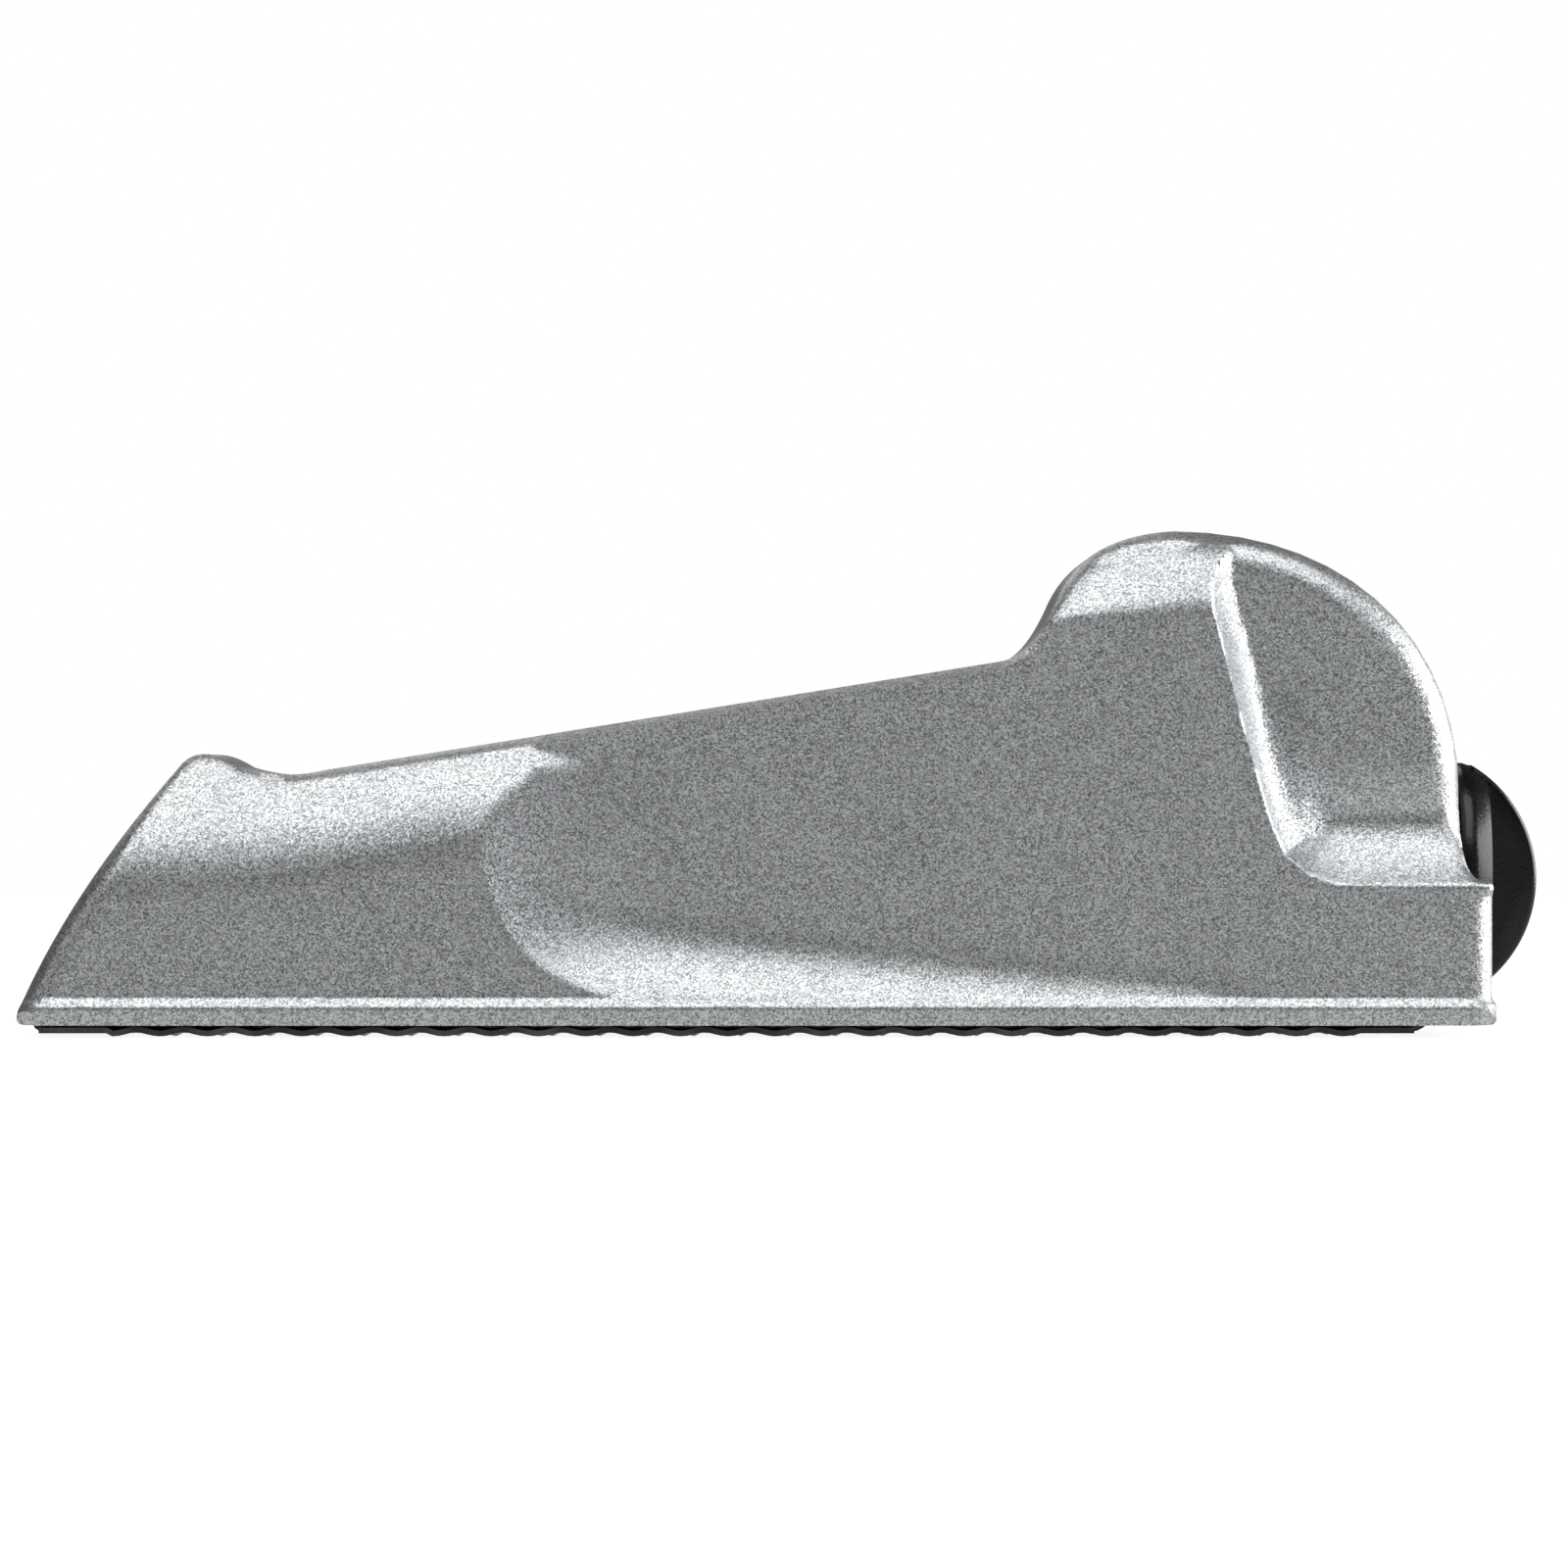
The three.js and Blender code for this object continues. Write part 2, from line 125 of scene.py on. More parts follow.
def drawFace(knots):
    # a flat bezier outline in the XZ plane, in millimetres, turned into one face
    curve = bpy.data.curves.new("outline", "CURVE")
    curve.dimensions = "3D"
    curve.resolution_u = 14
    spline = curve.splines.new("BEZIER")
    spline.bezier_points.add(len(knots) - 1)
    for point, (spot, before, after) in zip(spline.bezier_points, knots):
        point.handle_left_type = point.handle_right_type = "FREE"
        point.co = (spot[0], 0, spot[1])
        point.handle_left = (before[0], 0, before[1])
        point.handle_right = (after[0], 0, after[1])
    spline.use_cyclic_u = True
    holder = bpy.data.objects.new("outline", curve)
    mesh = bpy.data.meshes.new_from_object(holder)
    bm = bmesh.new()
    bm.from_mesh(mesh)
    bpy.data.meshes.remove(mesh)
    bpy.data.objects.remove(holder)
    bpy.data.curves.remove(curve)
    bmesh.ops.remove_doubles(bm, verts=bm.verts[:], dist=0.01)
    straight = [v for v in bm.verts if len(v.link_edges) == 2 and isStraight(v)]
    bmesh.ops.dissolve_verts(bm, verts=straight)
    bmesh.ops.edgenet_fill(bm, edges=bm.edges[:])
    return bm


def isStraight(vert):
    first = vert.link_edges[0].other_vert(vert).co - vert.co
    second = vert.link_edges[1].other_vert(vert).co - vert.co
    return first.angle(second) > math.radians(179.95)


def strokesToKnots(start, strokes):
    # line (x, z), bend (control, end) or sweep (control, control, end) strokes as bezier knots
    spots = [[start, start, start]]
    for stroke in strokes:
        last = spots[-1]
        end = stroke[-1]
        if len(stroke) == 1:
            first = tuple(a + (b - a) / 3 for a, b in zip(last[0], end))
            second = tuple(b + (a - b) / 3 for a, b in zip(last[0], end))
        elif len(stroke) == 2:
            first = tuple(a + (c - a) * 2 / 3 for a, c in zip(last[0], stroke[0]))
            second = tuple(b + (c - b) * 2 / 3 for b, c in zip(end, stroke[0]))
        else:
            first, second = stroke[0], stroke[1]
        last[2] = first
        spots.append([end, second, end])
    spots[0][1] = spots[0][0]
    return [tuple(knot) for knot in spots]


def smoothStep(value):
    t = np.clip(value, 0, 1)
    return t * t * (3 - 2 * t)


def distanceToPath(x, z, path):
    # signed by side: positive on the left of the direction of travel
    best = np.full(x.shape, 1e9)
    signed = np.zeros(x.shape)
    for (x0, z0), (x1, z1) in zip(path[:-1], path[1:]):
        dx, dz = x1 - x0, z1 - z0
        length = dx * dx + dz * dz
        t = np.clip(((x - x0) * dx + (z - z0) * dz) / length, 0, 1)
        away = np.hypot(x - x0 - t * dx, z - z0 - t * dz)
        side = dx * (z - z0) - dz * (x - x0)
        closer = away < best
        best = np.where(closer, away, best)
        signed = np.where(closer, np.sign(side) * away, signed)
    return signed


def curvePoints(start, strokes, steps=14):
    # the same strokes as a row of points, for measuring distances
    points = [start]
    for stroke in strokes:
        a, b = points[-1], stroke[-1]
        if len(stroke) == 1:
            points.append(b)
            continue
        for i in range(1, steps + 1):
            t = i / steps
            if len(stroke) == 2:
                c = stroke[0]
                points.append(tuple((1 - t) ** 2 * p + 2 * t * (1 - t) * q + t * t * r
                                    for p, q, r in zip(a, c, b)))
            else:
                c, d = stroke[0], stroke[1]
                points.append(tuple((1 - t) ** 3 * p + 3 * t * (1 - t) ** 2 * q
                                    + 3 * t * t * (1 - t) * r + t ** 3 * s
                                    for p, q, r, s in zip(a, c, d, b)))
    return points


# the body casting, in millimetres from the toe's foot and the blade's underside
casting = {
    "halfWidth": 20.3, "bottom": 1.2, "bottomRound": 0.5,
    "skirtStep": 0.7, "skirtLedge": 2.9, "skirtLedgeHeight": 1.2,
    "start": (0.7, 1.2),
    "nose": [((0, 1.2), (0, 1.9)), ((0, 2.5), (0.4, 3.2)), ((4.9, 13.6), (15.9, 26.9))],
    "back": [((17.8, 29.5), (21.8, 26.9)), ((26.2, 25.55), (30.5, 26.6)), ((97.9, 37.4),),
             ((101.2, 37.9), (103.7, 43.9)), ((106.5, 50.0), (115.4, 50.5)),
             ((131.4, 50.5), (144.0, 41.2), (144.0, 24.0)), ((144.0, 20.3),)],
    "heel": [((144.1, 16.2), (145.6, 15.6)), ((146.1, 15.6),), ((146.9, 15.6), (146.9, 14.8)),
             ((146.9, 3.9),), ((147.3, 3.2),), ((147.3, 1.9),), ((147.3, 1.2), (146.6, 1.2))],
    "palmEdge": [(118.3, 52.0), (118.3, 44.9), (120.1, 38.2), (122.0, 30.9), (124.7, 21.7),
                 (126.2, 18.2), (128.6, 16.3), (131.2, 15.4), (134.0, 15.3), (150.0, 15.3)],
    "palmDepth": 4.3, "palmFootDepth": 1.3, "palmBand": 4.1, "palmFoot": 9.0, "palmCrest": 0.6,
    "scoopStart": 45.9, "scoopDepth": 4.3, "scoopRamp": 18.0, "scoopFloor": 3.7,
    "scoopFade": [(45, 1), (62, 1), (80, 0.66), (100, 0.33), (117, 0.15), (125, 0)],
    "scoopFillet": [(46, 15.0), (55, 11.0), (62, 8.8), (80, 6.5), (100, 4.5), (117, 2.6), (125, 2.2)],
    "toeLeanStart": 12.4, "toeLeanBend": 17.0, "toeLeanAngle": 33, "toeLeanEnd": 50.5,
    "domeLeanStart": 36.5, "domeLeanBend": 13.0, "domeLeanAngle": 38, "domeLeanDepth": 4.6,
    "heelRound": 2.3, "heelTopRound": 0.6, "slopeSteepness": 0.55, "gridStep": 0.8,
    "hollowWidth": 27.0,
    "ribPlaces": [46, 72, 98], "ribThickness": 2.4, "ribHeight": 5.0,
    "windowStart": 42.0, "windowEnd": 86.0, "windowWidth": 17.0,
    "knobAxis": 15.6, "recessRadius": 12.65, "recessStart": 143.95,
    "pocketWidth": 34.6, "pocketHeight": 12.4, "toePocketEnd": 43.0, "heelPocketStart": 112.0,
}

strokes = casting["nose"] + casting["back"] + casting["heel"]
castingKnots = strokesToKnots(casting["start"], strokes)
nosePath = curvePoints(casting["start"], casting["nose"])
backPath = curvePoints(casting["nose"][-1][-1], casting["back"])
heelPath = curvePoints(casting["back"][-1][-1], casting["heel"])


def fillet(distance, radius):
    # how far a rounded corner falls back at this distance from its edge
    d = np.clip(distance, 0, None)
    r = np.maximum(radius, 1e-4)
    inside = np.clip(r - d, 0, None)
    return r - np.sqrt(np.clip(r * r - inside * inside, 0, None))


def backRadius(x, z):
    # the rounding along the top outline, from the nub over the dome to the heel
    r = 0.5 + 0.3 * smoothStep((x - 24) / 8)
    r = r + 1.6 * smoothStep((x - 100) / 11)
    r = r + 0.8 * smoothStep((x - 112) / 10) + 0.3 * smoothStep((x - 126) / 10)
    return r - 3.1 * smoothStep((25 - z) / 8) * (x > 138)


def noseRadius(x):
    return 2.6 - 2.1 * smoothStep((x - 6) / 10)


def along(x, table):
    return np.interp(x, *zip(*table))


def scoop(x, z):
    # the hollow in the side: a long ramp from its front edge and a rounding along its foot
    left = casting["scoopStart"] - 4.5 * (np.clip(z - 15.2, 0, None) / 13.8) ** 2.5
    left = left - 9 * (np.clip(z - 26.5, 0, 3) / 2.5) ** 2
    ramp = np.clip(1 - (x - left) / casting["scoopRamp"], 0, 2)
    foot = np.clip(1 - (z - casting["scoopFloor"]) / along(x, casting["scoopFillet"]), 0, 2)
    depth = casting["scoopDepth"] * along(x, casting["scoopFade"])
    return depth * np.clip(1 - ramp ** 2 - foot ** 2, 0, None)


def palm(x, z):
    # the recessed panel in the dome, with a crest along its edge
    d = distanceToPath(x, z, casting["palmEdge"])
    foot = smoothStep((x - 123) / 6)
    width = casting["palmBand"] + (casting["palmFoot"] - casting["palmBand"]) * foot
    t = np.clip(d / width, 0, 1)
    depth = casting["palmDepth"] + casting["palmFootDepth"] * smoothStep((27 - z) / 9)
    wall = depth * (1 - (1 - t) ** 2)
    lead = casting["palmCrest"]
    return np.minimum(wall + np.clip(d + lead, 0, lead) ** 2 / lead / 2, depth)


def leanAbove(height, bend, angle):
    # a side that bends inwards round an arc and then runs on straight
    t = np.clip(height, 0, None)
    slope = math.radians(angle)
    reach = bend * math.sin(slope)
    arc = bend - np.sqrt(bend * bend - np.minimum(t, reach) ** 2)
    return arc + np.clip(t - reach, 0, None) * math.tan(slope)


def toeLean(x, z):
    start = casting["toeLeanStart"] + 0.06 * (x - 10) + 1.8 * smoothStep((x - 26) / 20)
    lean = leanAbove(z - start, casting["toeLeanBend"], casting["toeLeanAngle"])
    return lean * (1 - smoothStep((x - casting["toeLeanEnd"]) / 6))


def domeLean(x, z):
    start = casting["domeLeanStart"] + 0.2 * (x - 106)
    lean = leanAbove(z - start, casting["domeLeanBend"], casting["domeLeanAngle"])
    lean = np.minimum(lean, casting["domeLeanDepth"])
    return lean * smoothStep((x - 98) / 6) * (1 - smoothStep((x - 121) / 6))


def softMax(a, b, blend=0.25):
    h = np.clip(blend - np.abs(a - b), 0, None) / blend
    return np.maximum(a, b) + h * h * blend / 4


def halfWidth(x, z):
    # how far the side stands out from the middle at each place in the side view
    c = casting
    ledge = 1 - smoothStep((z - c["skirtLedge"]) / c["skirtLedgeHeight"])
    side = c["halfWidth"] + c["skirtStep"] * ledge
    side = side - softMax(softMax(toeLean(x, z), scoop(x, z)), softMax(palm(x, z), domeLean(x, z)))
    side = side - fillet(np.abs(distanceToPath(x, z, nosePath)), noseRadius(x))
    onSlope = smoothStep((x - 24) / 8) * (1 - smoothStep((x - 98) / 6))
    back = fillet(np.abs(distanceToPath(x, z, backPath)), backRadius(x, z))
    side = side - (1 + c["slopeSteepness"] * onSlope) * back
    heelRadius = np.where(z > 14.5, c["heelTopRound"], c["heelRound"])
    side = side - fillet(np.abs(distanceToPath(x, z, heelPath)), heelRadius)
    return side - fillet(z - c["bottom"], c["bottomRound"])


def isClearOfSlope(face, slopeX, slopeZ, across):
    # level cuts stop short of the slope's edge, where they would run nearly along it
    spot = face.calc_center_median()
    if not 24 < spot.x < 99:
        return True
    return max((vert.co - Vector((slopeX, 0, slopeZ))).dot(across) for vert in face.verts) > 3.0


def cutAlong(bm, path, offsets):
    # short cuts beside a path, so that the faces follow the rounding next to it
    for (x0, z0), (x1, z1) in zip(path[:-1], path[1:]):
        ahead = Vector((x1 - x0, 0, z1 - z0)).normalized()
        across = Vector((-ahead.z, 0, ahead.x))
        start = Vector((x0, 0, z0))
        length = (Vector((x1, 0, z1)) - start).length
        for offset in offsets:
            near = []
            for face in bm.faces:
                spot = face.calc_center_median() - start
                if -0.5 < spot.dot(ahead) < length + 0.5 and abs(spot.dot(across) - offset) < 1.2:
                    near.append(face)
            if near:
                cutPlane(bm, start + across * offset, across, near)


def buildCasting():
    bm = drawFace(castingKnots)
    for thickness in (0.04, 0.1, 0.14, 0.17, 0.17):  # close rings keep the rounded edges smooth
        inner = max(bm.faces, key=lambda face: face.calc_area())
        bmesh.ops.inset_region(bm, faces=[inner], thickness=thickness, use_even_offset=True)
    for z in (2.6, 2.9, 3.1, 3.3, 3.5, 3.7, 3.9, 4.1, 4.4, 4.8, 5.3, 6.0):
        cutPlane(bm, (0, 0, z), (0, 0, 1))
    for x in (24, 99):
        cutPlane(bm, (x, 0, 0), (1, 0, 0))
    (slopeX, slopeZ), (endX, endZ) = casting["back"][1][-1], casting["back"][2][-1]
    slope = Vector((endX - slopeX, 0, endZ - slopeZ)).normalized()
    across = Vector((slope.z, 0, -slope.x))
    middle = [face for face in bm.faces if 24 < face.calc_center_median().x < 99]
    for below in (0.8, 1.1, 1.5, 2.1, 2.9):
        cutPlane(bm, Vector((slopeX, 0, slopeZ)) + across * below, across, middle)
        middle = [face for face in bm.faces if 24 < face.calc_center_median().x < 99]
    step = casting["gridStep"]
    for z in np.arange(6.8, 50, step):
        low = [face for face in bm.faces if isClearOfSlope(face, slopeX, slopeZ, across)]
        cutPlane(bm, (0, 0, z), (0, 0, 1), low)
    for x in np.concatenate([np.arange(0.9, 147, step), np.arange(45.3, 53, step)]):
        cutPlane(bm, (x, 0, 0), (1, 0, 0))
    cutAlong(bm, casting["palmEdge"], (-0.62, -0.4, -0.2, 0, 0.3, 0.7, 1.1, 1.6, 2.2, 3.1))
    cutAlong(bm, nosePath[-15::2], (-1.0, -1.5, -2.1, -2.8))
    domePath = [spot for spot in backPath if spot[0] > 101 and spot[1] > 20]
    cutAlong(bm, domePath[::2], (-1.0, -1.5, -2.1, -2.7, -3.3))
    co = np.array([vert.co for vert in bm.verts])
    sides = halfWidth(co[:, 0], co[:, 2])
    for vert, side in zip(bm.verts, sides):
        vert.co.y = -side
    rim = [edge for edge in bm.edges if len(edge.link_faces) == 1]
    band = bmesh.ops.extrude_edge_only(bm, edges=rim)["geom"]
    for vert in (item for item in band if isinstance(item, bmesh.types.BMVert)):
        vert.co.y = 0
    other = bmesh.ops.duplicate(bm, geom=everything(bm))["geom"]
    farVerts = [item for item in other if isinstance(item, bmesh.types.BMVert)]
    bmesh.ops.scale(bm, vec=(1, -1, 1), verts=farVerts)
    bmesh.ops.remove_doubles(bm, verts=bm.verts[:], dist=0.002)
    bmesh.ops.recalc_face_normals(bm, faces=bm.faces[:])
    bmesh.ops.triangulate(bm, faces=bm.faces[:])
    place(bm)
    return newPiece("bodyCasting", bm, "plane_body", "body_casting")


def slabCutter(start, strokes, width):
    # an upright slab of the given outline and width
    bm = drawFace(strokesToKnots(start, strokes))
    bmesh.ops.translate(bm, vec=(0, -width / 2, 0), verts=bm.verts[:])
    pushOut(bm, (0, width, 0))
    place(bm)
    return plainObject("slab", bm)


def boxCutter(x0, x1, width, z0, z1):
    bm = bmesh.new()
    bmesh.ops.create_cube(bm, size=1)
    bmesh.ops.scale(bm, vec=(x1 - x0, width, z1 - z0), verts=bm.verts[:])
    bmesh.ops.translate(bm, vec=((x0 + x1) / 2, 0, (z0 + z1) / 2), verts=bm.verts[:])
    place(bm)
    return plainObject("box", bm)


def rodCutter(radius, x0, x1, height, sides=64):
    bm = bmesh.new()
    bmesh.ops.create_cone(bm, cap_ends=True, segments=sides, radius1=radius, radius2=radius,
                          depth=x1 - x0)
    turn = Matrix.Rotation(math.pi / 2, 3, "Y")
    bmesh.ops.rotate(bm, cent=(0, 0, 0), matrix=turn, verts=bm.verts[:])
    bmesh.ops.translate(bm, vec=((x0 + x1) / 2, 0, height), verts=bm.verts[:])
    place(bm)
    return plainObject("rod", bm)


def stadiumCutter(x0, x1, width, z0, z1):
    # an upright long hole with round ends
    bm = bmesh.new()
    bmesh.ops.create_circle(bm, cap_ends=True, segments=48, radius=width / 2)
    for vert in bm.verts:
        vert.co.x += x0 + width / 2 if vert.co.x < 0 else x1 - width / 2
    bmesh.ops.translate(bm, vec=(0, 0, z0), verts=bm.verts[:])
    pushOut(bm, (0, 0, z1 - z0))
    place(bm)
    return plainObject("stadium", bm)


def hollowCasting(obj):
    c = casting
    inside = [((5.5, 5.0),), ((3.6, 5.0),), ((8.0, 15.6), (17.8, 25.3)), ((19.6, 24.9), (22.5, 24.0)),
              ((26.4, 23.0), (30.9, 24.2)), ((98.3, 34.9),), ((103.2, 35.8), (106.0, 42.9)),
              ((108.6, 47.6), (115.4, 48.0)), ((130.0, 48.0), (141.5, 39.8), (141.5, 24.0)),
              ((141.5, -3.0),)]
    toePocket = [((5.5, 5.0),), ((4.0, 5.0),), ((5.2, 8.8), (7.2, 12.4)), ((c["toePocketEnd"], 12.4),),
                 ((c["toePocketEnd"], -3.0),)]
    combine(obj, [
        slabCutter((5.5, -3.0), inside, c["hollowWidth"]),
        slabCutter((5.5, -3.0), toePocket, c["pocketWidth"]),
        boxCutter(c["heelPocketStart"], 141.5, c["pocketWidth"], -3, c["pocketHeight"]),
        boxCutter(1.2, 2.7, c["pocketWidth"], -1, 3.3),
        stadiumCutter(c["windowStart"], c["windowEnd"], c["windowWidth"], 13, 52),
        boxCutter(c["recessStart"], 150, 2 * c["recessRadius"], c["knobAxis"], 52),
        rodCutter(c["recessRadius"], c["recessStart"], 150, c["knobAxis"]),
        rodCutter(3.3, 140, 146, c["knobAxis"], 32),
    ], "DIFFERENCE")
    combine(obj, [boxCutter(x, x + c["ribThickness"], c["hollowWidth"] + 2, c["bottom"] + 0.05,
                            c["bottom"] + c["ribHeight"]) for x in c["ribPlaces"]], "UNION")


castingObject = buildCasting()
hollowCasting(castingObject)
smoothShade(castingObject)
print("casting:", len(castingObject.data.polygons), "faces")

# the rasp blade
blade = {
    "start": 1.5, "end": 141.2, "width": 41.0, "thickness": 0.56, "sheetHeight": 0.72,
    "toothPitch": 4.7, "toothRows": 7, "rowSpacing": 5.2, "plainFront": 8.0, "teeth": 26,
    "toothDrop": 0.42, "holeRadius": 1.25, "edgeWave": 0.2, "edgeDrop": 0.12,
    "edgeDent": 0.35,
    "frontRadius": 0.7, "frontBendWidth": 34.0,
    "curlWidth": 30.0, "curlRadius": 2.0, "curlTopRadius": 1.0, "curlHeight": 5.8,
}


def bladeLine(s):
    # place of the sheet's middle line at this length along it, before and after both bends
    b = blade
    x, z = b["start"] + s, np.full_like(s, b["sheetHeight"])
    r = b["frontRadius"]
    turn = np.clip((r - s) / r, 0, math.pi / 2)
    x = np.where(s < r, b["start"] + 0.3 + r - r * np.sin(turn), x)
    z = np.where(s < r, b["sheetHeight"] + r - r * np.cos(turn), z)
    z = z + np.clip(r - s - r * math.pi / 2, 0, None)
    length = b["end"] - 0.25 - b["curlRadius"] - b["start"]
    r = b["curlRadius"]
    turn = np.clip((s - length) / r, 0, math.pi / 2)
    x = np.where(s > length, b["start"] + length + r * np.sin(turn), x)
    z = np.where(s > length, b["sheetHeight"] + r - r * np.cos(turn), z)
    rise = b["curlHeight"] - b["sheetHeight"] - 2 * r + 1.0
    up = length + r * math.pi / 2
    z = z + np.clip(s - up, 0, rise)
    tight = b["curlTopRadius"]
    turn = np.clip((s - up - rise) / tight, 0, math.pi / 2)
    x = x - (tight - tight * np.cos(turn)) * (s > up + rise)
    z = z + tight * np.sin(turn) * (s > up + rise)
    return x - np.clip(s - up - rise - tight * math.pi / 2, 0, None), z


def buildBlade():
    b = blade
    stepX = b["toothPitch"] / 8
    stepY = b["rowSpacing"] / 8
    before, after = 4, 16
    columns = before + round((b["end"] - b["start"]) / stepX) + after
    rows = round(b["width"] / stepY)
    rows += rows % 2
    bm = bmesh.new()
    bmesh.ops.create_grid(bm, x_segments=columns, y_segments=rows, size=1)
    index = np.array([vert.co for vert in bm.verts])
    i = np.rint((index[:, 0] + 1) / 2 * columns).astype(int) - before
    j = np.rint((index[:, 1]) / 2 * rows).astype(int)
    s, y = i * stepX, j * stepY
    row = np.rint(j / 8).astype(int)
    stagger = np.where(row % 2 == 0, 0, 4)
    firstColumn = round(b["plainFront"] / stepX)
    tooth = np.floor((i - firstColumn - stagger) / 8).astype(int)
    u = i - firstColumn - stagger - tooth * 8 - 4
    v = j - row * 8
    inPattern = (tooth >= 0) & (tooth < b["teeth"]) & (np.abs(row) <= b["toothRows"] // 2)
    ring = np.maximum(np.abs(u), np.abs(v))
    turn = np.arctan2(v * stepY, u * stepX + 1e-9)
    rounder = np.where(inPattern & (ring > 0) & (ring < 4), (4 - ring) / 2, 0)
    rounder = np.clip(rounder, 0, 1)
    radius = b["holeRadius"] * ring / 2
    s = s + rounder * (radius * np.cos(turn) - u * stepX)
    y = y + rounder * (radius * np.sin(turn) - v * stepY)
    lip = inPattern * np.clip(1 - np.abs(ring - 2) / 1.6, 0, 1)
    drop = lip * (b["toothDrop"] * np.clip(np.cos(turn), 0, 1) - 0.1 * np.clip(-np.cos(turn), 0, 1))
    side = np.clip((np.abs(y) - b["width"] / 2 + 1.4) / 1.4, 0, 1)
    ripple = np.sin(s * 2 * math.pi / b["toothPitch"])
    wavy = (s > b["plainFront"]) & (s < b["end"] - b["start"] - 8)
    x, z = bladeLine(s)
    z = z - drop + wavy * side * (ripple * b["edgeWave"] - b["edgeDrop"])
    limit = b["width"] / 2
    dents = (1 - np.cos(s * 4 * math.pi / b["toothPitch"])) / 2
    y = np.clip(y, -limit, limit) - np.sign(y) * wavy * side * b["edgeDent"] * dents
    for vert, spot in zip(bm.verts, np.stack([x, y, z], axis=1)):
        vert.co = spot
    bm.verts.index_update()
    gone = []
    flatEnd = (b["end"] - b["start"] - b["curlRadius"]) / stepX
    for face in bm.faces:
        own = [vert.index for vert in face.verts]
        middleI, middleJ = i[own].mean(), j[own].mean()
        hole = all(inPattern[own]) and ring[own].max() <= 2 and len(set(tooth[own])) == 1
        across = abs(middleJ) * stepY
        inBend = middleI < 1 and across > b["frontBendWidth"] / 2
        inCurl = middleI > flatEnd and across > b["curlWidth"] / 2
        if hole or inBend or inCurl:
            gone.append(face)
    bmesh.ops.delete(bm, geom=gone, context="FACES")
    bmesh.ops.remove_doubles(bm, verts=bm.verts[:], dist=0.01)
    place(bm)
    obj = newPiece("raspBlade", bm, "plane_body", "rasp_blade")
    sheet = obj.modifiers.new("sheet", "SOLIDIFY")
    sheet.thickness = b["thickness"] * mm
    sheet.offset = 0
    sheet.use_even_offset = False
    applyModifiers(obj)
    smoothShade(obj, 45)
    return obj


bladeObject = buildBlade()
print("blade:", len(bladeObject.data.polygons), "faces")

# the wing knob
knob = {
    "back": 144.3, "rim": 1.3, "foot": 147.6, "end": 152.6, "radius": 11.75, "axis": 15.6,
    "wingThickness": 6.4, "edgeRound": 0.55,
}


def buildKnob():
    k = knob
    reach = k["end"] - k["back"] - k["rim"]
    sphere = (k["radius"] ** 2 + reach ** 2) / (2 * reach)
    centre = k["end"] - sphere
    base = sphere - 0.05  # the wing stands a hair proud of the base
    rimAngle = math.asin(k["radius"] / sphere)
    footAngle = math.acos((k["foot"] - centre) / sphere)
    e = k["edgeRound"]
    profile = [(k["back"], 0), (k["back"], k["radius"] - e), (k["back"] + 0.16, k["radius"] - 0.16),
               (k["back"] + e, k["radius"]), (k["back"] + k["rim"] - 0.4, k["radius"])]
    for step in range(9):
        angle = rimAngle - 0.03 + (footAngle - rimAngle + 0.03) * step / 8
        profile.append((centre + base * math.cos(angle), base * math.sin(angle)))
    profile.append((centre + base * math.cos(footAngle), 0))
    bm = bmesh.new()
    verts = [bm.verts.new((x, 0, r)) for x, r in profile]
    for a, b in zip(verts[:-1], verts[1:]):
        bm.edges.new((a, b))
    bmesh.ops.spin(bm, geom=everything(bm), cent=(0, 0, 0), axis=(1, 0, 0), dvec=(0, 0, 0),
                   angle=2 * math.pi, steps=96, use_merge=True, use_duplicate=False)
    bmesh.ops.remove_doubles(bm, verts=bm.verts[:], dist=0.001)
    bmesh.ops.recalc_face_normals(bm, faces=bm.faces[:])
    bmesh.ops.translate(bm, vec=(0, 0, k["axis"]), verts=bm.verts[:])
    place(bm)
    obj = newPiece("wingKnob", bm, "knob", "wing_knob")

    wing = bmesh.new()
    bmesh.ops.create_circle(wing, cap_ends=True, segments=144, radius=sphere)
    turn = Matrix.Rotation(math.pi / 2, 3, "X")
    bmesh.ops.rotate(wing, cent=(0, 0, 0), matrix=turn, verts=wing.verts[:])
    bmesh.ops.translate(wing, vec=(centre, -k["wingThickness"] / 2, 0), verts=wing.verts[:])
    bmesh.ops.bisect_plane(wing, geom=everything(wing), dist=1e-6, plane_no=(-1, 0, 0),
                           plane_co=(k["back"] + k["rim"] + 0.4, 0, 0), clear_outer=True)
    pushOut(wing, (0, k["wingThickness"], 0))
    flats = [face for face in wing.faces if abs(face.normal.y) > 0.9]
    rims = list({edge for face in flats for edge in face.edges})
    bmesh.ops.bevel(wing, geom=rims, offset=e, offset_type="OFFSET", segments=4, profile=0.5,
                    affect="EDGES", material=-1)
    bmesh.ops.translate(wing, vec=(0, 0, k["axis"]), verts=wing.verts[:])
    place(wing)
    combine(obj, [plainObject("wing", wing)], "UNION")
    combine(obj, [
        rodCutter(3.15, 143, 146.8, k["axis"], 48),  # the screw's shank
        rodCutter(6.3, 143, 145.4, k["axis"], 48),  # the washer
        boxCutter(146.3, 150.1, 3.7, k["axis"] - 4.15, k["axis"] + 4.15),  # the screw's flattened head
    ], "DIFFERENCE")
    smoothShade(obj, 30)
    return obj


knobObject = buildKnob()
print("knob:", len(knobObject.data.polygons), "faces")

